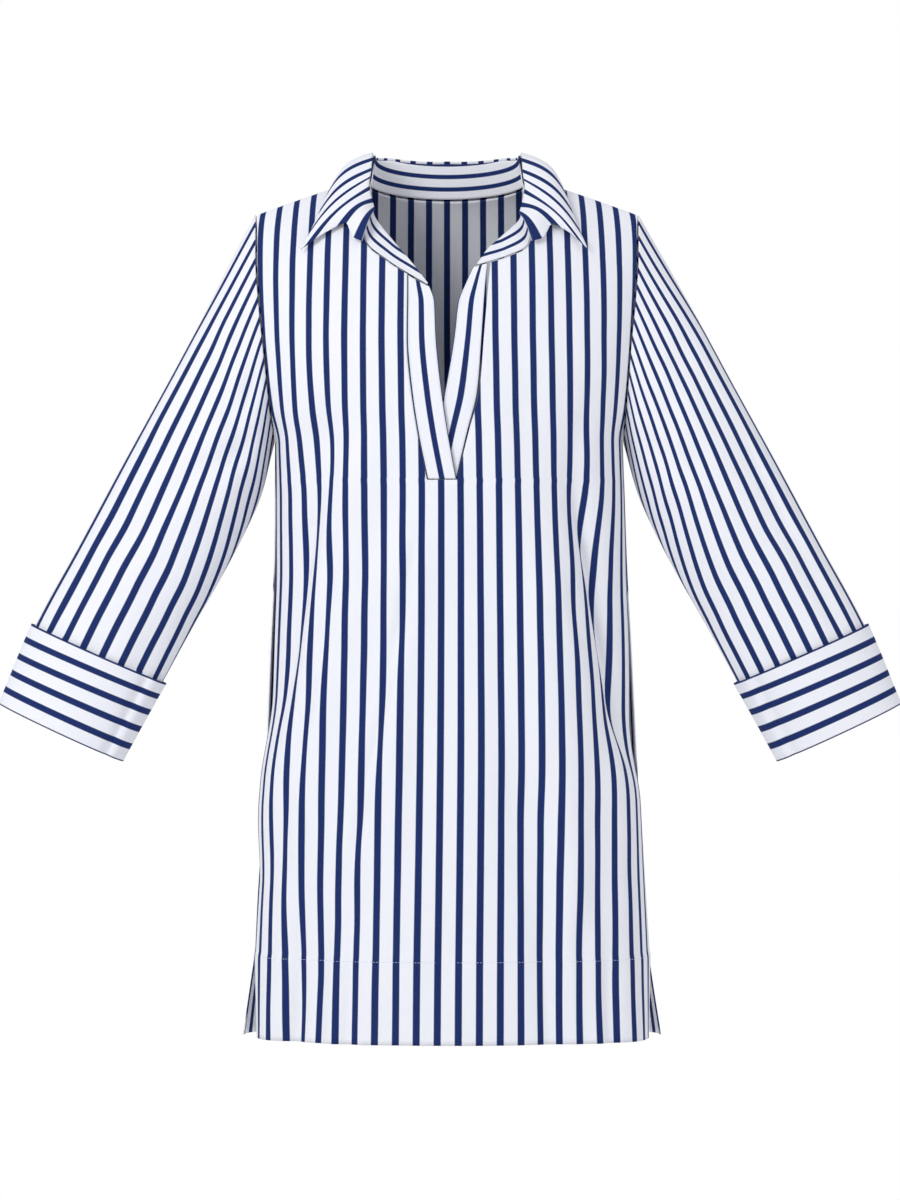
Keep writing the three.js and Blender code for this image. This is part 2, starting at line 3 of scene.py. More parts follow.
import math

import bpy
import numpy as np
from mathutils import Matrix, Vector, noise


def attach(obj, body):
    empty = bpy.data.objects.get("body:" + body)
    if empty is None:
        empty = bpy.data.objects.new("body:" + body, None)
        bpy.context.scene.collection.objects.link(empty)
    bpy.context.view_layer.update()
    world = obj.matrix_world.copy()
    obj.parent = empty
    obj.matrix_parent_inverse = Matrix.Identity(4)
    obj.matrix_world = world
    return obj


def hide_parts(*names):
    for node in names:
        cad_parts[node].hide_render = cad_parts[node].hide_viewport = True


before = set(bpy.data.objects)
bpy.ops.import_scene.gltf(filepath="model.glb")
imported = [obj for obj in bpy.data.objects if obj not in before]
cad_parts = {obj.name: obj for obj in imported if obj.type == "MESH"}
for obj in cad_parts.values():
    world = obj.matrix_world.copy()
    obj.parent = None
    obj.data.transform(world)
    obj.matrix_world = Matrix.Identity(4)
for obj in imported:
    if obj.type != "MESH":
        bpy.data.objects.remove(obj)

bl_info = {
    "name": "Beach tunic dress",
    "version": (1, 0, 0),
    "blender": (4, 5, 0),
    "location": "View3D > Sidebar > Tunic",
    "description": "Builds a striped popover tunic dress with its collar, V placket, cuffs and hem",
    "category": "Add Mesh",
}

MM = 0.001
QUARTER = math.pi / 2

# Sizes in millimetres, heights above the hem, as the frame has them.
SHOULDER_LINE = 855
HEM_DEPTH = 83
VENT_TOP = 78
VENT_SPREAD = 9
VENT_FLARE = 0.8
ARMPIT = 592
SLIT_BOTTOM = 553
NECK_HALF = 84
SHOULDER_HALF = 189
SHOULDER_DROP = 35
YOKE_START = 650
YOKE_LENGTH = 290
YOKE_TOP = YOKE_START + YOKE_LENGTH
SEAM_HALF = 0.15
SQUARENESS = 2.25
BACK_FULLNESS = 0.62
FRONT_FULLNESS = 1.6
SLEEVE_START = 2.3
CUFF_START = 1
CUFF_END = 1.19
CUFF_CLEARANCE = 2.4
BAND_TUCK = 2.4
NECK_LENGTHS = 2.7
LEAF_LIFT = 6
LEAF_LEAST = 4.5
LEAF_ROLL = 8
LEAF_CLEARANCE = 2.2
STAND_CLEARANCE = 2.4
STAND_CLEAR_MOST = 0.6

# Each piece's stripes, rows and columns. Sizes are in mm: _STRIPES is the distance from one stripe to the
# next and CUFF_FIRST is the first one's from the edge. Rows, columns and sides say how fine a grid is.
BAND_WIDTH = 30
BAND_STRIPES = 17
SLEEVE_SIDES = 160
SLEEVE_ROWS = 150
SLEEVE_STRIPES = {-1: 20.4, 1: 17.6}
CUFF_HEIGHT = 86
CUFF_STRIPES = 17.8
CUFF_FIRST = 16.6
CUFF_ROWS = 40
STAND_STRIPES = 12.6
LEAF_STRIPES = 18.2
STAND_ROWS = 16
LEAF_ROWS = 30
SIDE_COLUMNS = 84
NECK_COLUMNS = 36
LOWER_ROWS = 96
YOKE_ROWS = 72
CUFF_PROUD = 1.2
CUFF_CREASE = 222  # degrees round from the top
SLEEVE_FIRST = 0.35  # of a stripe, from the sleeve's top line to the nearest stripe
SLEEVE_LENGTH = 467
SLEEVE_END = CUFF_END - 0.008

# Stitches, in mm.
HEM_STITCHES = 81
STITCH = 2.4
STITCH_STEP = 3.2
STITCH_WIDTH = 0.55

# Colours, light and floor, in metres and watts.
NAVY_DARK = "#11245A"
NAVY_LIGHT = "#22366D"
WHITE = "#F1F2F6"
THREAD = "#D6DBE8"
YARN_SCALE = 420.0
FLOOR_Z = -1.1
FLOOR_HALF = 4.0
FILL = "#EFF1FA"
FILL_STRENGTH = 0.6
LAMPS = (
    ("key", (-1.9, -2.5, 1.2), 1.3, 52.0),
    ("side", (2.4, -1.8, 0.5), 1.8, 15.0),
    ("back", (0.6, 2.6, 1.0), 1.6, 14.0),
)

# height, half width, depth to the front, depth to the back, the middle's shift
BODY = (
    (0, 201, 113, 106, 2),
    (94, 195, 111, 102, 1.5),
    (255, 185, 105, 95, 1.5),
    (390, 179, 101, 90, 1),
    (473, 175, 101, 89, 0.5),
    (592, 173, 105, 94, -1),
    (625, 183, 106, 97, -2),
    (660, 191, 105, 99, -2.5),
    (700, 197, 102, 101, -3),
    (760, 202, 98, 101, -3),
    (860, 205, 96, 100, -3),
    (940, 207, 96, 100, -3),
)
# cloth height, half the distance between the armhole seams
ARMHOLE = (
    (592, 172.5),
    (610, 174),
    (640, 176.5),
    (690, 180.5),
    (740, 185),
    (800, 188.5),
    (870, 189),
    (940, 189),
)
# height, outer edge of the wearer's right band, and of the left one
BAND_LINES = (
    (553, -22.5, 7),
    (600, -32, 18),
    (640, -38, 28),
    (690, -42.5, 32),
    (745, -42, 36),
    (790, -42, 40),
)
# height, inner edge of the wearer's right band, and of the left one
SLIT_LINES = (
    (553, 6.5, -21.5),
    (600, -2, -13),
    (633, -7, -6.5),
    (690, -13.5, 4),
    (722, -15, 8),
    (740, -21, 15),
    (765, -30, 26),
)
# part of the way from the band to the shoulder seam, right x and z, left x and z
FRONT_NECK = (
    (-0.35, -22, 744, 27, 764),
    (0, -42, 756, 40, 768),
    (0.3, -63, 770, 58, 774),
    (0.58, -84, 790, 78, 786),
    (0.78, -88, 815, 82, 812),
    (1, -85, 855, 79, 855),
)
BACK_NECK_DROP = 17
# along the sleeve, upper edge x and z, underarm edge x and z, half depth, forward
SLEEVE = (
    (0, 191, 819, 174, 590, 46, 0),
    (0.2, 236, 737, 187, 545, 52, 1),
    (0.4, 280, 655, 206, 502, 52, 3),
    (0.6, 325, 573, 229, 458, 49, 6),
    (0.8, 369, 491, 257, 409, 45, 9),
    (1, 413, 410, 287, 354, 42, 12),
    (1.19, 447, 331, 329, 276, 41, 14),
)
# part of the way from the middle of the back to the slit, rise, inward, back
STAND = (
    (0, 38, 0, -5),
    (0.25, 35, 6, -4),
    (0.5, 25, 10, 2),
    (0.54, 25, 10, 7),
    (0.58, 30, 9, 14),
    (0.655, 29, 9, 22),
    (0.75, 24, 5, 22),
    (0.88, 14, 2, 13),
    (1, 3, 0, 3),
)
# part, right x, left x, cloth height past the shoulder seam
LEAF = (
    (0, 0, 0, 138),
    (0.2, -50, 50, 135),
    (0.36, -90, 90, 110),
    (0.43, -105, 105, 60),
    (0.48, -110, 111, 0),
    (0.515, -118, 117, -60),
    (0.545, -128, 125, -108),
    (0.58, -143, 137, -149),
    (0.605, -119, 121, -133),
    (0.63, -99, 103, -126),
    (0.642, -92, 94, -148),
    (0.655, -83, 83, -155),
)

# Folds: top height and x, low height and x, half width, depth outwards.
FRONT_FOLDS = (
    (640, -118, 255, -180, 26, -9),
    (620, -92, 150, -178, 34, 10),
    (560, -24, 110, -118, 30, 8),
    (470, -52, 0, -158, 24, -8),
    (600, 116, 230, 184, 18, -9),
    (520, 96, 0, 128, 30, 8),
    (300, 60, 0, 104, 22, -7),
    (330, 160, 0, 172, 22, 7),
)
# Narrow creases that only the cloth has, over the same columns.
FRONT_CREASES = (
    (575, -127, 300, -168, 8, -4.5),
    (545, -99, 150, -172, 9, -5),
    (540, -23, 130, -108, 8, -5),
    (566, 123, 250, 181, 6, -7),
    (510, 103, 340, 140, 9, -3),
    (690, -140, 540, -118, 12, -4),
    (660, 148, 560, 118, 11, -5),
    (180, -150, 0, -160, 9, -5),
    (140, -125, 0, -131, 8, -4),
    (200, -96, 0, -104, 10, -4),
    (170, 120, 0, 131, 9, -4),
    (130, 148, 0, 153, 8, -4),
    (250, 88, 0, 96, 8, -3.5),
)
BACK_FOLDS = (
    (640, -120, 60, -150, 32, 9),
    (560, -60, 0, -92, 30, -8),
    (700, 10, 0, -20, 34, 7),
    (540, 66, 0, 88, 28, -8),
    (630, 122, 30, 152, 30, 9),
)
BACK_CREASES = (
    (600, -98, 200, -124, 9, -4),
    (520, -30, 60, -52, 9, -4.5),
    (580, 38, 140, 52, 8, -4),
    (610, 96, 180, 118, 9, -4.5),
    (700, -150, 560, -122, 11, -4),
    (700, 146, 560, 120, 11, -4),
    (160, -140, 0, -150, 9, -4),
    (150, 130, 0, 140, 9, -4),
)
FOLD_FADE = 90
# from and to along the sleeve, angle round from the top, angle it drifts by, half width in degrees, depth
SLEEVE_FOLDS = (
    (0.5, 1.02, 62, 0, 20, -7),
    (0.05, 0.45, 118, 0, 22, -7),
    (0.15, 0.8, -60, 0, 26, -6),
)
SLEEVE_CREASES = (
    (0.02, 0.35, -115, 30, 11, -5),
    (0.1, 0.5, -135, 45, 10, -5),
    (0.3, 0.75, -100, 30, 9, -4),
    (0.45, 1.02, -42, -8, 8, -4.5),
    (0.05, 0.3, -75, 20, 10, -3.5),
    (0.1, 0.5, 100, -30, 11, -5),
    (0.4, 0.95, 130, -10, 9, -4),
    (0.55, 1.02, 40, 5, 9, -4),
)

# Stripes: how far apart, and the share of that that is navy.
NAVY_SHARE = 0.345
# height, spacing on the panels, the stripe nearest the middle
PANEL_STRIPES = (
    (0, 20.5, -14.5),
    (240, 20.1, -11.3),
    (470, 19.1, -9),
    (560, 18.8, -8.3),
    (700, 18.6, -8.3),
    (940, 18, -8.3),
)


def table_curve(rows, column):
    """A function of a table's first column: the same cubic that the frame's pieces follow."""
    keys = [row[0] for row in rows]
    values = [row[column] for row in rows]
    last = len(rows) - 1

    def slope(a, b):
        return (values[b] - values[a]) / (keys[b] - keys[a])

    def tangent(k):
        before = slope(max(k - 1, 0), max(k, 1))
        after = slope(min(k, last - 1), min(k + 1, last))
        return 0 if before * after <= 0 else 2 * before * after / (before + after)

    steps = 24
    at, value = [], []
    for i in range(last):
        span = keys[i + 1] - keys[i]
        for k in range(steps + (i == last - 1)):
            t = k / steps
            soft = t * t * (3 - 2 * t)
            bend = tangent(i) * span * (t**3 - 2 * t * t + t) + tangent(i + 1) * span * (t**3 - t * t)
            at.append(keys[i] + span * t)
            value.append(values[i] + (values[i + 1] - values[i]) * soft + bend)
    return lambda key: np.interp(key, at, value)


def ease(part):
    part = np.clip(part, 0, 1)
    return part * part * (3 - 2 * part)


def mix(a, b, part):
    return a + (b - a) * part


half_at = table_curve(BODY, 1)
depth_at = {-1: table_curve(BODY, 2), 1: table_curve(BODY, 3)}
shift_at = table_curve(BODY, 4)
armhole_at = table_curve(ARMHOLE, 1)
band_at = {-1: table_curve(BAND_LINES, 1), 1: table_curve(BAND_LINES, 2)}
slit_at = {-1: table_curve(SLIT_LINES, 1), 1: table_curve(SLIT_LINES, 2)}
neck_x = {-1: table_curve(FRONT_NECK, 1), 1: table_curve(FRONT_NECK, 3)}
neck_z = {-1: table_curve(FRONT_NECK, 2), 1: table_curve(FRONT_NECK, 4)}
sleeve_at = [table_curve(SLEEVE, column) for column in range(1, 7)]
stand_at = [table_curve(STAND, column) for column in range(1, 4)]
leaf_x = {-1: table_curve(LEAF, 1), 1: table_curve(LEAF, 2)}
leaf_over = table_curve(LEAF, 3)
stripe_gap = table_curve(PANEL_STRIPES, 1)
stripe_start = table_curve(PANEL_STRIPES, 2)
NECK_SHIFT = float(shift_at(YOKE_TOP))


def shoulder_height(x):
    out = np.maximum(0, np.abs(x) - NECK_HALF) / (SHOULDER_HALF - NECK_HALF)
    return SHOULDER_LINE - SHOULDER_DROP * out**1.1


def body(side, x, t):
    """Points of the front (-1) or back (1) surface at widths x and cloth heights t."""
    x, t = np.broadcast_arrays(np.asarray(x, float), np.asarray(t, float))
    over = np.clip((t - YOKE_START) / YOKE_LENGTH, 0, 1) * QUARTER
    z = np.where(t <= YOKE_START, t, YOKE_START + (shoulder_height(x) - YOKE_START) * np.sin(over))
    share = np.minimum(1, np.abs(x) / half_at(t))
    across = np.maximum(0, 1 - share**SQUARENESS) ** (1 / SQUARENESS)
    fullness = FRONT_FULLNESS if side < 0 else BACK_FULLNESS
    y = side * depth_at[side](t) * across * np.maximum(0, np.cos(over)) ** fullness
    return np.stack([x + shift_at(t), y, z], -1)


def cloth_height(x, z):
    rise = np.clip((z - YOKE_START) / (shoulder_height(x) - YOKE_START), 0, 1)
    return np.where(z <= YOKE_START, z, YOKE_START + np.arcsin(rise) / QUARTER * YOKE_LENGTH)


def panel_edge(t):
    return np.where(t <= ARMPIT, half_at(t), armhole_at(t))


def fold_depth(folds, x, t):
    total = np.zeros(np.broadcast(x, t).shape)
    for top_z, top_x, low_z, low_x, width, depth in folds:
        middle = mix(top_x, low_x, (top_z - t) / (top_z - low_z))
        fade = ease((top_z - t) / FOLD_FADE)
        if low_z > 0:
            fade = fade * ease((t - low_z) / FOLD_FADE)
        total = total + depth * fade * np.exp(-(((x - middle) / width) ** 2))
    return total


def wrinkles(x, t, seed):
    """Soft unevenness that cotton keeps after ironing: long upright ripples and small dents."""
    out = np.empty(np.broadcast(x, t).shape)
    xs, ts = np.broadcast_arrays(x, t)
    for i in np.ndindex(out.shape):
        long_ripple = noise.noise(Vector((xs[i] / 34, ts[i] / 190, seed)))
        dent = noise.noise(Vector((xs[i] / 22, ts[i] / 48, seed + 7)))
        out[i] = 2.6 * long_ripple + 0.9 * dent
    return out


def cloth(side, x, t, folds=(), rough=0.0):
    """The worn surface: the body's, with folds, the hem's second layer and the open vents."""
    x, t = np.broadcast_arrays(np.asarray(x, float), np.asarray(t, float))
    point = body(side, x, t)
    near = body(side, x + 1, t) - body(side, x - 1, t)
    outward = np.stack([-side * near[..., 1], side * near[..., 0], np.zeros_like(x)], -1)
    outward /= np.maximum(np.linalg.norm(outward, axis=-1, keepdims=True), 1e-9)
    depth = fold_depth(folds, x, t)
    edge = panel_edge(t)
    if rough:
        from_edge = ease((edge - np.abs(x)) / 30) * ease((YOKE_TOP + 20 - t) / 150)
        depth = depth + rough * wrinkles(x, t, 3.1 * side) * from_edge
        depth = depth + 0.7 * ease((HEM_DEPTH - t) / 1.6 + 0.5)
    point = point + outward * depth[..., None]
    to_side = np.clip((np.abs(x) / edge - 0.8) / 0.2, 0, 1)
    opened = np.clip(1 - t / VENT_TOP, 0, 1) * VENT_SPREAD * to_side**2
    point[..., 1] += side * (SEAM_HALF + opened)
    point[..., 0] += np.sign(x) * side * opened * VENT_FLARE
    return point


def inner_edge(side, hand, t):
    if side > 0:
        return np.zeros_like(np.asarray(t, float))
    t = np.maximum(t, SLIT_BOTTOM)
    return band_at[hand](t) - shift_at(t)


def front_neck(hand, part):
    x = neck_x[hand](part) - NECK_SHIFT
    return x, cloth_height(x, neck_z[hand](part))


def back_neck(hand, part):
    x = front_neck(hand, 1)[0] * np.sin(part * QUARTER)
    return x, cloth_height(x, SHOULDER_LINE - BACK_NECK_DROP * np.cos(part * QUARTER))


# ------------------------------------------------------------------ meshes
def add_piece(name, points, stripe, along, keep=None, closed=False, thickness=1.2):
    """A cloth piece from a grid of points in mm. stripe counts the stripes across it and along is the
    way down them in mm, both kept on the points for the material. A wall is put round it."""
    rows, columns = points.shape[:2]
    coords = points.reshape(-1, 3).copy()
    coords[:, 2] -= SHOULDER_LINE
    index = np.arange(rows * columns).reshape(rows, columns)
    faces = []
    for r in range(rows - 1):
        for c in range(columns if closed else columns - 1):
            after = (c + 1) % columns
            if keep is None or keep[r, c]:
                faces.append((index[r, c], index[r, after], index[r + 1, after], index[r + 1, c]))
    used = np.unique(np.array(faces))
    number = np.full(rows * columns, -1)
    number[used] = np.arange(len(used))
    mesh = bpy.data.meshes.new(name)
    mesh.from_pydata((coords[used] * MM).tolist(), [], number[np.array(faces)].tolist())
    held = mesh.attributes.new("cloth", "FLOAT_VECTOR", "POINT")
    lay = np.stack([stripe.ravel()[used], along.ravel()[used], np.zeros(len(used))], 1)
    held.data.foreach_set("vector", lay.astype(np.float32).ravel())
    mesh.shade_smooth()
    piece = bpy.data.objects.new(name, mesh)
    bpy.context.scene.collection.objects.link(piece)
    shell = piece.modifiers.new("wall", "SOLIDIFY")
    shell.thickness = max(thickness * MM, bpy.context.scene.tunic.thickness)
    shell.offset = 0
    return piece


def dress_piece(piece, node):
    piece.data.materials.append(striped_cotton())
    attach(piece, "root")
    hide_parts(node)


def stripe_lattice(side, hand, folds):
    """The cloth's length from the inner edge to each width, level by level, for the stripes to follow."""
    levels = np.linspace(0, YOKE_TOP, 160)
    shares = np.sin(np.linspace(0, QUARTER, 90))
    tables = []
    for t in levels:
        inner = float(inner_edge(side, hand, t))
        widths = inner + (hand * float(panel_edge(t)) - inner) * shares
        points = cloth(side, widths, np.full_like(widths, t), folds)
        lengths = np.concatenate([[0], np.cumsum(np.linalg.norm(np.diff(points, axis=0), axis=1))])
        tables.append((inner, np.abs(widths - inner), lengths))

    def length(x, t):
        place = min(max(t / YOKE_TOP * (len(levels) - 1), 0), len(levels) - 1.001)
        low = int(place)
        inner, spread, lengths = tables[low]
        first = np.interp(hand * (x - inner), spread, lengths)
        inner, spread, lengths = tables[low + 1]
        second = np.interp(hand * (x - inner), spread, lengths)
        return mix(first, second, place - low)

    return length


def stripe_number(side, hand, x, t, length):
    """How many stripes lie between the one nearest the middle and each place on a panel."""
    offset = inner_edge(side, hand, t)
    if side < 0:
        offset = offset - stripe_start(t)
    lengths = np.array([length(*place) for place in zip(x.ravel(), t.ravel())]).reshape(x.shape)
    return (hand * lengths + offset) / stripe_gap(t)


def half_rows(side, hand):
    """Widths and cloth heights of half a panel's columns, from the hem to the neckline and the shoulder."""
    parts = np.arange(SIDE_COLUMNS + 1) / SIDE_COLUMNS
    neck_part = NECK_COLUMNS / SIDE_COLUMNS
    widths, heights = [], []

    def even(t):
        inner, outer = float(inner_edge(side, hand, t)), hand * float(panel_edge(t))
        x = inner + (outer - inner) * np.sin(np.linspace(0, QUARTER, 200))
        points = body(side, x, np.full_like(x, t))
        lengths = np.concatenate([[0], np.cumsum(np.linalg.norm(np.diff(points, axis=0), axis=1))])
        return np.interp(parts * lengths[-1], lengths, x)

    for t in np.linspace(0, SLIT_BOTTOM, LOWER_ROWS + 1):
        widths.append(even(t))
        heights.append(np.full_like(parts, t))
    neck = front_neck if side < 0 else back_neck
    on_neck = np.minimum(parts / neck_part, 1)
    top_x, top_t = neck(hand, on_neck)
    out = np.clip((parts - neck_part) / (1 - neck_part), 0, 1)
    top_x = mix(top_x, hand * SHOULDER_HALF, out)
    top_t = np.where(parts < neck_part, top_t, YOKE_TOP)

    def share_out(x, t):
        inner, outer = inner_edge(side, hand, t), hand * panel_edge(t)
        return (x - inner) / (outer - inner)

    foot_share = share_out(widths[-1], np.full_like(parts, SLIT_BOTTOM))
    top_share = share_out(top_x, top_t)
    for r in range(1, YOKE_ROWS + 1):
        share = r / YOKE_ROWS
        t = mix(SLIT_BOTTOM, top_t, share)
        out = mix(foot_share, top_share, share**1.5)
        widths.append(mix(inner_edge(side, hand, t), hand * panel_edge(t), out))
        heights.append(t)
    return np.array(widths), np.array(heights)


def make_panel(side, name, folds, creases):
    halves = {hand: half_rows(side, hand) for hand in (-1, 1)}
    every = folds + creases
    x = np.concatenate([halves[-1][0][:, ::-1], halves[1][0]], 1)
    t = np.concatenate([halves[-1][1][:, ::-1], halves[1][1]], 1)
    number = np.concatenate(
        [
            stripe_number(side, -1, *halves[-1], stripe_lattice(side, -1, every))[:, ::-1],
            stripe_number(side, 1, *halves[1], stripe_lattice(side, 1, every)),
        ],
        1,
    )
    if side > 0:
        x, t, number = (np.delete(grid, SIDE_COLUMNS + 1, 1) for grid in (x, t, number))
    points = cloth(side, x, t, every, rough=1.0)
    if side > 0:
        points, number, t = points[:, ::-1], number[:, ::-1], t[:, ::-1]
    keep = np.ones((points.shape[0] - 1, points.shape[1] - 1), bool)
    if side < 0:
        keep[LOWER_ROWS:, SIDE_COLUMNS] = False
    return add_piece(name, points, number, t, keep)


def band_grid(hand, rows=90, columns=15):
    share = np.linspace(0, 1, rows + 1)[:, None]
    across = np.linspace(0, 1, columns + 1)[None, :]
    top = mix(front_neck(hand, 0)[1], front_neck(hand, -0.35)[1], across) - 1
    t = mix(SLIT_BOTTOM + 1, top, share)
    outer = band_at[hand](t) - shift_at(t) - hand * 0.6
    x = mix(outer, slit_at[hand](t) - shift_at(t), across)
    points = cloth(-1, x, t, FRONT_FOLDS)
    if hand > 0:
        points[..., 1] += BAND_TUCK * (1 - ease((share - 0.25) / 0.5))
    else:
        points[..., 1] -= 0.7
    return points, across + 0 * share, t


def make_placket(hand, name):
    points, across, t = band_grid(hand)
    number = (across - 0.5) * BAND_WIDTH / BAND_STRIPES
    if hand > 0:
        points, number, t = points[:, ::-1], number[:, ::-1], t[:, ::-1]
    return add_piece(name, points, number, t)


def evenly(points, count):
    lengths = np.concatenate([[0], np.cumsum(np.linalg.norm(np.diff(points, axis=0), axis=1))])
    wanted = np.linspace(0, lengths[-1], count + 1)
    return np.stack([np.interp(wanted, lengths, points[:, k]) for k in range(3)], 1)


def armhole_edge(side, hand):
    t = np.linspace(YOKE_TOP, ARMPIT, 200)
    return evenly(cloth(side, hand * panel_edge(t), t), SLEEVE_SIDES // 2)


def sleeve_fold(along, turn, folds):
    total = np.zeros_like(turn)
    for start, end, angle, drift, width, depth in folds:
        part = (along - start) / (end - start)
        away = (turn - angle - drift * part + 180) % 360 - 180
        fade = ease((along - start) / 0.12) * ease((end - along) / 0.12)
        total = total + depth * fade * np.exp(-((away / width) ** 2))
    return total


def sleeve_ring(hand, along, offset, creased):
    top_x, top_z, under_x, under_z, depth, forward = (float(curve(along)) for curve in sleeve_at)
    top = np.array([hand * top_x, -forward, top_z])
    under = np.array([hand * under_x, -forward, under_z])
    middle, reach = (top + under) / 2, (top - under) / 2
    angle = np.arange(SLEEVE_SIDES) / SLEEVE_SIDES * 2 * math.pi
    turn = np.degrees(angle)
    folds = SLEEVE_FOLDS + (SLEEVE_CREASES if creased else ())
    grow = 1 + offset / np.linalg.norm(reach)
    points = middle + reach * (np.cos(angle) * grow)[:, None]
    deep = depth + offset + sleeve_fold(along, turn, folds)
    if creased:
        ripple = [
            noise.noise(Vector((math.cos(a) * 2.2, math.sin(a) * 2.2, along * 3 + 5 * hand)))
            for a in angle
        ]
        deep = deep + 3.0 * np.array(ripple) * float(ease(along / 0.2))
    points[:, 1] += np.sin(angle) * deep
    return points


def ring_lengths(points):
    """The cloth's length round a ring from its top, to either side, negative on the front."""
    closed = np.concatenate([points, points[:1]])
    lengths = np.concatenate([[0], np.cumsum(np.linalg.norm(np.diff(closed, axis=0), axis=1))])
    around = lengths[:-1]
    return np.where(around > lengths[-1] / 2, around - lengths[-1], around)


def outward_order(grids, hand):
    return grids if hand < 0 else [grid[:, ::-1] for grid in grids]


def make_sleeve(hand, name):
    back, front = armhole_edge(1, hand), armhole_edge(-1, hand)
    half = SLEEVE_SIDES // 2
    seam = np.concatenate([back[: half + 1], front[1:half][::-1]]) + [hand * SLEEVE_START, 0, 0]
    first = sleeve_ring(hand, 0, 0, False)
    points, number, down = [], [], []
    for along in np.linspace(0, SLEEVE_END, SLEEVE_ROWS + 1):
        blend = float(ease(along / 0.3))
        ring = sleeve_ring(hand, along, 0, along < CUFF_START) + (seam - first) * (1 - blend)
        points.append(ring)
        number.append(ring_lengths(ring) / SLEEVE_STRIPES[hand] - SLEEVE_FIRST)
        down.append(np.full(SLEEVE_SIDES, along * SLEEVE_LENGTH))
    grids = outward_order([np.array(points), np.array(number), np.array(down)], hand)
    return add_piece(name, *grids, closed=True)


def cuff_ring(hand, share):
    """The turned-back cuff stands proud at its upper edge and has a soft crease at the underarm."""
    offset = CUFF_CLEARANCE + CUFF_PROUD * (1 - share) ** 2
    ring = sleeve_ring(hand, mix(CUFF_START, CUFF_END, share), offset, False)
    turn = np.arange(SLEEVE_SIDES) / SLEEVE_SIDES * 360
    away = (turn - CUFF_CREASE + 180) % 360 - 180
    ring[:, 1] += 3.4 * np.exp(-((away / 5) ** 2)) - 2.2 * np.exp(-(((away + 14) / 7) ** 2))
    return ring


def make_cuff(hand, name):
    shares = np.linspace(0, 1, CUFF_ROWS + 1)
    points = np.array([cuff_ring(hand, share) for share in shares])
    down = np.repeat(shares[:, None] * CUFF_HEIGHT, SLEEVE_SIDES, 1)
    number = (down - CUFF_FIRST) / CUFF_STRIPES
    around = np.array([ring_lengths(ring) for ring in points])
    grids = outward_order([points, number, around], hand)
    return add_piece(name, *grids, closed=True, thickness=2.2)


# ------------------------------------------------------------------ collar


def neck_point(hand, part):
    if part <= 0.5:
        return cloth(1, *back_neck(hand, part * 2))
    return cloth(-1, *front_neck(hand, 1 - (part - 0.5) * NECK_LENGTHS))


def fold_point(hand, part):
    rise, inward, back = (float(curve(part)) for curve in stand_at)
    return neck_point(hand, part) + np.array([-hand * inward, back, rise])


def around_neck(parts):
    return [(1, part) for part in parts[:0:-1]] + [(-1, part) for part in parts]


def make_stand(name):
    stations = around_neck(list(np.linspace(0, 1, 121)))
    shares = np.linspace(0, 1, STAND_ROWS + 1)[:, None]
    points, number, along = [], [], []
    walked = 0.0
    before = None
    for hand, part in stations:
        foot = neck_point(hand, part)
        rise = fold_point(hand, part) - foot
        height = float(np.linalg.norm(rise))
        clear = min(STAND_CLEARANCE / height, STAND_CLEAR_MOST)
        walked += 0 if before is None else float(np.linalg.norm(foot - before))
        before = foot
        climb = mix(clear, 1, shares)
        points.append(foot + rise * climb)
        number.append(climb[:, 0] * height / STAND_STRIPES)
        along.append(np.full(STAND_ROWS + 1, walked))
    return add_piece(name, *(np.swapaxes(np.array(grid), 0, 1) for grid in (points, number, along)))


def unit(vector):
    return vector / np.linalg.norm(vector)


def leaf_station(hand, part):
    over = float(leaf_over(part))
    side = 1 if over > 0 else -1
    x, t = float(leaf_x[hand](part)), YOKE_TOP - abs(over)
    rise = fold_point(hand, part) - neck_point(hand, part)
    along = neck_point(hand, min(part + 0.01, 1)) - neck_point(hand, max(part - 0.01, 0))
    stand = unit(np.cross(along, rise) * -hand)
    across = cloth(side, x + 2, t) - cloth(side, x - 2, t)
    upward = cloth(side, x, t) - cloth(side, x, t - 4)
    below = unit(np.cross(across, upward) * -side)
    edge = cloth(side, x, t) + below * LEAF_LIFT
    fold = fold_point(hand, part) + stand * LEAF_CLEARANCE + np.array([0, 0, LEAF_CLEARANCE])
    return edge, fold, unit(stand + below)


def leaf_middle(part):
    edge, fold, _ = leaf_station(-1, part)
    return (edge + fold) / 2


def clear_of_panel(point):
    x, side = point[0] - NECK_SHIFT, np.sign(point[1])
    if side == 0 or point[2] >= shoulder_height(x) - 2 or abs(x) < NECK_HALF:
        return point
    least = abs(float(body(int(side), x, cloth_height(x, point[2]))[..., 1])) + LEAF_LEAST
    point[1] = side * max(abs(point[1]), least)
    return point


def make_leaf(name):
    key_parts = [row[0] for row in LEAF]
    parts = []
    for low, high in zip(key_parts, key_parts[1:]):
        count = max(3, round((high - low) * 130))
        parts += list(np.linspace(low, high, count, endpoint=False))
    parts.append(key_parts[-1])
    lengths = [0.0]
    for before, after in zip(parts, parts[1:]):
        step = leaf_middle(after) - leaf_middle(before)
        lengths.append(lengths[-1] + float(np.linalg.norm(step)))
    length_at = dict(zip(parts, lengths))
    points, number, along = [], [], []
    for hand, part in around_neck(parts):
        edge, fold, out = leaf_station(hand, part)
        ups = np.linspace(0, 1, LEAF_ROWS + 1)
        rolls = [out * LEAF_ROLL * math.sin(math.pi * up) for up in ups]
        points.append([clear_of_panel(mix(edge, fold, up) + roll) for up, roll in zip(ups, rolls)])
        number.append(np.full(LEAF_ROWS + 1, hand * length_at[part] / LEAF_STRIPES))
        along.append(ups * 70)
    return add_piece(name, *(np.swapaxes(np.array(grid), 0, 1) for grid in (points, number, along)))


# ------------------------------------------------------------------ stitches


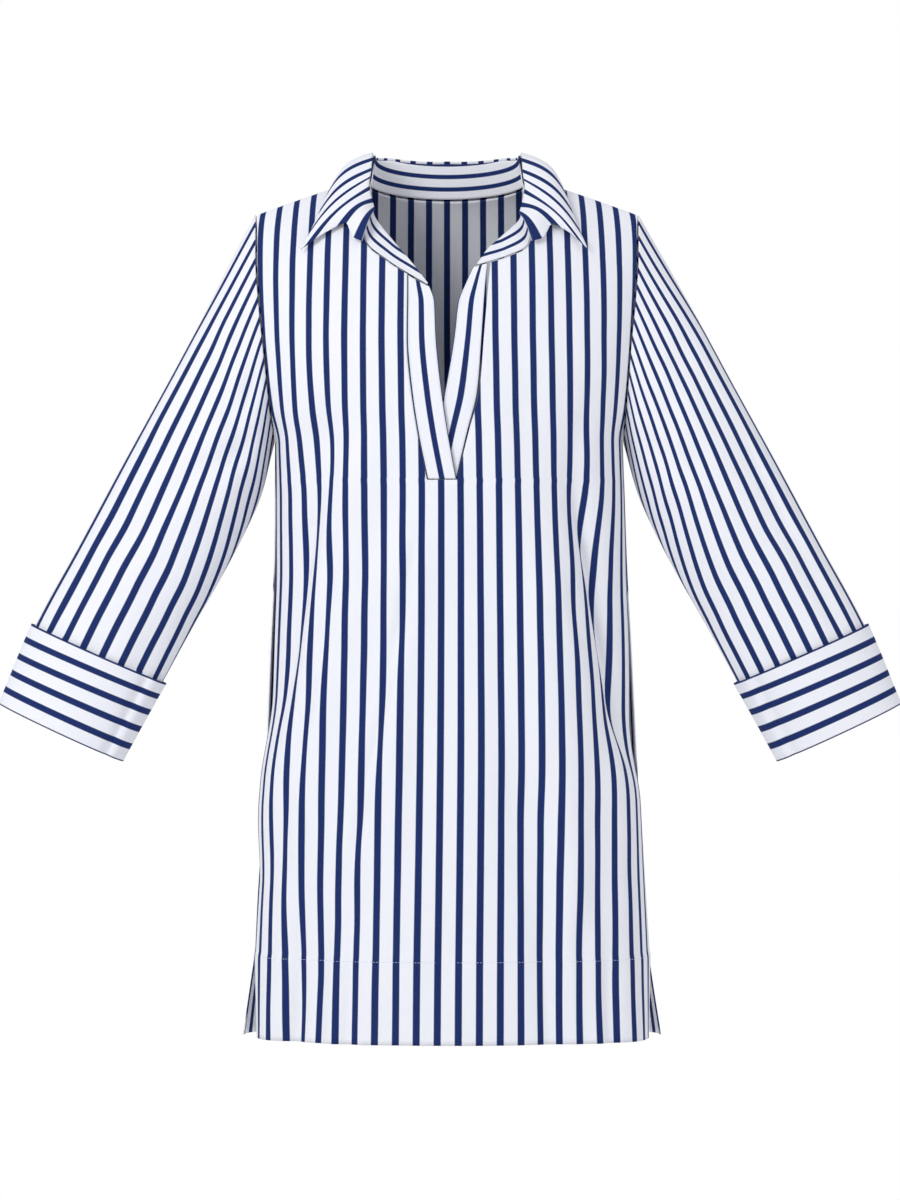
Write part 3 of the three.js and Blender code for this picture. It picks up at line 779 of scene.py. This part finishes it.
def stitch_line(path, normals):
    """Dashes along a path in mm: a small six-sided grain for each stitch."""
    lengths = np.concatenate([[0], np.cumsum(np.linalg.norm(np.diff(path, axis=0), axis=1))])

    def at(length, table):
        return np.array([np.interp(length, lengths, table[:, k]) for k in range(3)])

    corners, faces = [], []
    for start in np.arange(STITCH_STEP, lengths[-1] - STITCH_STEP, STITCH_STEP):
        a, b = at(start, path), at(start + STITCH, path)
        normal = unit(at(start, normals))
        wide = unit(np.cross(b - a, normal)) * STITCH_WIDTH / 2
        lift = normal * (STITCH_WIDTH * 0.45)
        base = len(corners)
        middle = (a + b) / 2
        corners += [a, middle - wide, middle + wide, b, middle + lift, middle - lift]
        for p, q in ((0, 1), (1, 3), (3, 2), (2, 0)):
            faces.append((base + p, base + q, base + 4))
            faces.append((base + q, base + p, base + 5))
    return corners, faces


def make_stitches(name, lines):
    corners, faces = [], []
    for path, normals in lines:
        more, cells = stitch_line(path, normals)
        faces += [tuple(len(corners) + k for k in cell) for cell in cells]
        corners += more
    coords = np.array(corners)
    coords[:, 2] -= SHOULDER_LINE
    mesh = bpy.data.meshes.new(name)
    mesh.from_pydata((coords * MM).tolist(), [], faces)
    piece = bpy.data.objects.new(name, mesh)
    bpy.context.scene.collection.objects.link(piece)
    piece.data.materials.append(thread())
    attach(piece, "root")
    return piece


def surface_line(side, x, t, folds, lift=0.9):
    points = cloth(side, x, t, folds, rough=1.0 if folds else 0.0)
    out = points.copy()
    out[:, 2] = 0
    out /= np.linalg.norm(out, axis=1, keepdims=True)
    return points + out * lift, out


# ------------------------------------------------------------------ materials
def linear(colour):
    """An sRGB hex colour as the linear numbers that a shader takes."""
    parts = [int(colour[k : k + 2], 16) / 255 for k in (1, 3, 5)]
    return tuple(p / 12.92 if p <= 0.04045 else ((p + 0.055) / 1.055) ** 2.4 for p in parts) + (1.0,)


def add_node(tree, kind, inputs, **settings):
    """Adds a node; an input is given a number, or another node's output to be linked to."""
    node = tree.nodes.new(kind)
    for key, value in settings.items():
        setattr(node, key, value)
    for key, value in inputs.items():
        if isinstance(value, bpy.types.NodeSocket):
            tree.links.new(value, node.inputs[key])
        else:
            node.inputs[key].default_value = value
    return node


def new_material(name):
    material = bpy.data.materials.new(name)
    material.use_nodes = True
    tree = material.node_tree
    tree.nodes.clear()
    return material, tree


def math_node(tree, operation, *values):
    return add_node(tree, "ShaderNodeMath", dict(enumerate(values)), operation=operation).outputs[0]


def striped_cotton():
    """Woven navy stripes on white cotton poplin, with the slight unevenness of dyed yarn."""
    name = "Striped cotton poplin"
    if name in bpy.data.materials:
        return bpy.data.materials[name]
    material, tree = new_material(name)
    lay = add_node(tree, "ShaderNodeAttribute", {}, attribute_name="cloth")
    parts = add_node(tree, "ShaderNodeSeparateXYZ", {"Vector": lay.outputs["Vector"]})
    shifted = math_node(tree, "ADD", parts.outputs["X"], 0.5)
    centred = math_node(tree, "SUBTRACT", math_node(tree, "FRACT", shifted), 0.5)
    from_stripe = math_node(tree, "ABSOLUTE", centred)
    stripe = add_node(
        tree,
        "ShaderNodeMapRange",
        {"Value": from_stripe, 1: NAVY_SHARE / 2 + 0.02, 2: NAVY_SHARE / 2 - 0.02, 3: 0.0, 4: 1.0},
    )
    where = add_node(tree, "ShaderNodeTexCoord", {})
    slub = add_node(
        tree,
        "ShaderNodeTexNoise",
        {"Vector": where.outputs["Object"], "Scale": YARN_SCALE, "Detail": 3.0, "Roughness": 0.6},
    )
    navy = add_node(
        tree,
        "ShaderNodeMix",
        {0: slub.outputs[0], 6: linear(NAVY_DARK), 7: linear(NAVY_LIGHT)},
        data_type="RGBA",
    )
    colour = add_node(
        tree,
        "ShaderNodeMix",
        {0: stripe.outputs[0], 6: linear(WHITE), 7: navy.outputs[2]},
        data_type="RGBA",
    )
    weave = add_node(
        tree,
        "ShaderNodeBump",
        {"Height": slub.outputs[0], "Strength": 0.25, "Distance": 0.0004},
    )
    cotton = add_node(
        tree,
        "ShaderNodeBsdfPrincipled",
        {
            "Base Color": colour.outputs[2],
            "Roughness": 0.9,
            "Normal": weave.outputs[0],
            "Specular IOR Level": 0.2,
        },
    )
    add_node(tree, "ShaderNodeOutputMaterial", {"Surface": cotton.outputs[0]})
    return material


def thread():
    name = "Pale cotton thread"
    if name in bpy.data.materials:
        return bpy.data.materials[name]
    material, tree = new_material(name)
    cotton = add_node(
        tree, "ShaderNodeBsdfPrincipled", {"Base Color": linear(THREAD), "Roughness": 0.7}
    )
    add_node(tree, "ShaderNodeOutputMaterial", {"Surface": cotton.outputs[0]})
    return material


def white_to_camera(tree, plain, lit):
    """Shows the plain shader to the camera and in reflections, and the lit one to everything else."""
    path = add_node(tree, "ShaderNodeLightPath", {})
    seen = math_node(tree, "MAXIMUM", path.outputs["Is Camera Ray"], path.outputs["Is Glossy Ray"])
    seen = math_node(tree, "MAXIMUM", seen, path.outputs["Is Transmission Ray"])
    inputs = {0: seen, 1: lit.outputs[0], 2: plain.outputs[0]}
    return add_node(tree, "ShaderNodeMixShader", inputs)


def make_stage():
    """The floor, the world, the lamps and the camera."""
    scene = bpy.context.scene
    half = FLOOR_HALF
    mesh = bpy.data.meshes.new("floor")
    corners = [(x, y, FLOOR_Z) for x, y in ((-half, -half), (half, -half), (half, half), (-half, half))]
    mesh.from_pydata(corners, [], [(0, 1, 2, 3)])
    floor = bpy.data.objects.new("floor", mesh)
    scene.collection.objects.link(floor)
    material, tree = new_material("White studio floor")
    paper = add_node(tree, "ShaderNodeBsdfPrincipled", {"Base Color": linear("#F2F2F2"), "Roughness": 0.9})
    glow = add_node(tree, "ShaderNodeEmission", {"Color": (1, 1, 1, 1), "Strength": 1.0})
    shown = white_to_camera(tree, glow, paper)
    add_node(tree, "ShaderNodeOutputMaterial", {"Surface": shown.outputs[0]})
    mesh.materials.append(material)

    world = bpy.data.worlds.new("Studio white")
    world.use_nodes = True
    tree = world.node_tree
    tree.nodes.clear()
    fill = add_node(tree, "ShaderNodeBackground", {"Color": linear(FILL), "Strength": FILL_STRENGTH})
    plain = add_node(tree, "ShaderNodeBackground", {"Color": (1, 1, 1, 1), "Strength": 1.0})
    shown = white_to_camera(tree, plain, fill)
    add_node(tree, "ShaderNodeOutputWorld", {"Surface": shown.outputs[0]})
    scene.world = world
    scene.view_settings.view_transform = "Standard"

    for name, place, size, power in LAMPS:
        data = bpy.data.lights.new(name, "AREA")
        data.shape = "SQUARE"
        data.size = size
        data.energy = power
        lamp = bpy.data.objects.new(name, data)
        lamp.location = place
        lamp.rotation_euler = (Vector((0, 0, -0.4)) - Vector(place)).to_track_quat("-Z", "Y").to_euler()
        scene.collection.objects.link(lamp)

    data = bpy.data.cameras.new("camera")
    data.lens = 144
    data.sensor_width = 36
    camera = bpy.data.objects.new("camera", data)
    camera.location = (0, -4.8, -0.4197)
    camera.rotation_euler = (QUARTER, 0, 0)
    scene.collection.objects.link(camera)
    scene.camera = camera


# ------------------------------------------------------------------ add-on
class TunicSettings(bpy.types.PropertyGroup):
    thickness: bpy.props.FloatProperty(
        name="Cloth thickness",
        description="Wall of a single sheet of the cotton",
        default=0.0012,
        min=0.0006,
        max=0.002,
        unit="LENGTH",
    )
    hem_stitches: bpy.props.BoolProperty(
        name="Hem stitches",
        description="Sew the pale line of stitches along the deep hem",
        default=True,
    )


class TunicOperator(bpy.types.Operator):
    bl_options = {"REGISTER", "UNDO"}


class TUNIC_OT_front_panel(TunicOperator):
    """Front panel, with its V neck slit and its vents at the hem"""

    bl_idname = "tunic.front_panel"
    bl_label = "Front panel"

    def execute(self, context):
        piece = make_panel(-1, "front_panel_cloth", FRONT_FOLDS, FRONT_CREASES)
        dress_piece(piece, "front_panel")
        return {"FINISHED"}


class TUNIC_OT_back_panel(TunicOperator):
    """Back panel, in one piece from the neck to the hem"""

    bl_idname = "tunic.back_panel"
    bl_label = "Back panel"

    def execute(self, context):
        piece = make_panel(1, "back_panel_cloth", BACK_FOLDS, BACK_CREASES)
        dress_piece(piece, "back_panel")
        return {"FINISHED"}


class TUNIC_OT_plackets(TunicOperator):
    """The two bands along the neck slit"""

    bl_idname = "tunic.plackets"
    bl_label = "Plackets"

    def execute(self, context):
        for hand, word in ((-1, "right"), (1, "left")):
            piece = make_placket(hand, f"placket_{word}_cloth")
            dress_piece(piece, f"placket_{word}")
        return {"FINISHED"}


class TUNIC_OT_sleeves(TunicOperator):
    """The two sleeves, from the dropped armhole seam to inside the cuffs"""

    bl_idname = "tunic.sleeves"
    bl_label = "Sleeves"

    def execute(self, context):
        for hand, word in ((-1, "right"), (1, "left")):
            piece = make_sleeve(hand, f"sleeve_{word}_cloth")
            dress_piece(piece, f"sleeve_{word}")
        return {"FINISHED"}


class TUNIC_OT_cuffs(TunicOperator):
    """The two turned-back cuffs, with stripes that run round them"""

    bl_idname = "tunic.cuffs"
    bl_label = "Cuffs"

    def execute(self, context):
        for hand, word in ((-1, "right"), (1, "left")):
            piece = make_cuff(hand, f"cuff_{word}_cloth")
            dress_piece(piece, f"cuff_{word}")
        return {"FINISHED"}


class TUNIC_OT_collar_stand(TunicOperator):
    """The part of the collar that stands up from the neck seam"""

    bl_idname = "tunic.collar_stand"
    bl_label = "Collar stand"

    def execute(self, context):
        dress_piece(make_stand("collar_stand_cloth"), "collar_stand")
        return {"FINISHED"}


class TUNIC_OT_collar_leaf(TunicOperator):
    """The part of the collar that is folded down, with its two points"""

    bl_idname = "tunic.collar_leaf"
    bl_label = "Collar leaf"

    def execute(self, context):
        dress_piece(make_leaf("collar_leaf_cloth"), "collar_leaf")
        return {"FINISHED"}


class TUNIC_OT_stitches(TunicOperator):
    """Topstitching along the deep hem and the two bands"""

    bl_idname = "tunic.stitches"
    bl_label = "Stitches"

    def execute(self, context):
        if context.scene.tunic.hem_stitches:
            lines = []
            for side, folds in ((-1, FRONT_FOLDS + FRONT_CREASES), (1, BACK_FOLDS + BACK_CREASES)):
                edge = float(panel_edge(HEM_STITCHES)) - 6
                x = np.linspace(-edge, edge, 400)
                lines.append(surface_line(side, x, np.full_like(x, HEM_STITCHES), folds))
            make_stitches("hem_stitches", lines)
        lines = []
        for hand in (-1, 1):
            points, _, _ = band_grid(hand)
            for column in (1, 14):
                path = points[4:-4, column] + [0, -0.8, 0]
                lines.append((path, np.tile([0.0, -1.0, 0.0], (len(path), 1))))
        make_stitches("band_stitches", lines)
        return {"FINISHED"}


class TUNIC_OT_stage(TunicOperator):
    """White floor and world, soft lamps and the camera"""

    bl_idname = "tunic.stage"
    bl_label = "Stage"

    def execute(self, context):
        make_stage()
        return {"FINISHED"}


OPERATORS = (
    TUNIC_OT_front_panel,
    TUNIC_OT_back_panel,
    TUNIC_OT_plackets,
    TUNIC_OT_sleeves,
    TUNIC_OT_cuffs,
    TUNIC_OT_collar_stand,
    TUNIC_OT_collar_leaf,
    TUNIC_OT_stitches,
    TUNIC_OT_stage,
)


class TUNIC_PT_panel(bpy.types.Panel):
    """The tunic's settings, and a button for each of its pieces"""

    bl_idname = "TUNIC_PT_panel"
    bl_label = "Beach tunic dress"
    bl_space_type = "VIEW_3D"
    bl_region_type = "UI"
    bl_category = "Tunic"

    def draw(self, context):
        layout = self.layout
        layout.prop(context.scene.tunic, "thickness")
        layout.prop(context.scene.tunic, "hem_stitches")
        for operator in OPERATORS:
            layout.operator(operator.bl_idname)


CLASSES = (TunicSettings, *OPERATORS, TUNIC_PT_panel)


def register():
    for item in CLASSES:
        bpy.utils.register_class(item)
    bpy.types.Scene.tunic = bpy.props.PointerProperty(type=TunicSettings)


def unregister():
    del bpy.types.Scene.tunic
    for item in reversed(CLASSES):
        bpy.utils.unregister_class(item)


def main():
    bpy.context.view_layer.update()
    register()
    for operator in OPERATORS:
        group, name = operator.bl_idname.split(".")
        getattr(getattr(bpy.ops, group), name)()


if __name__ == "__main__":
    main()
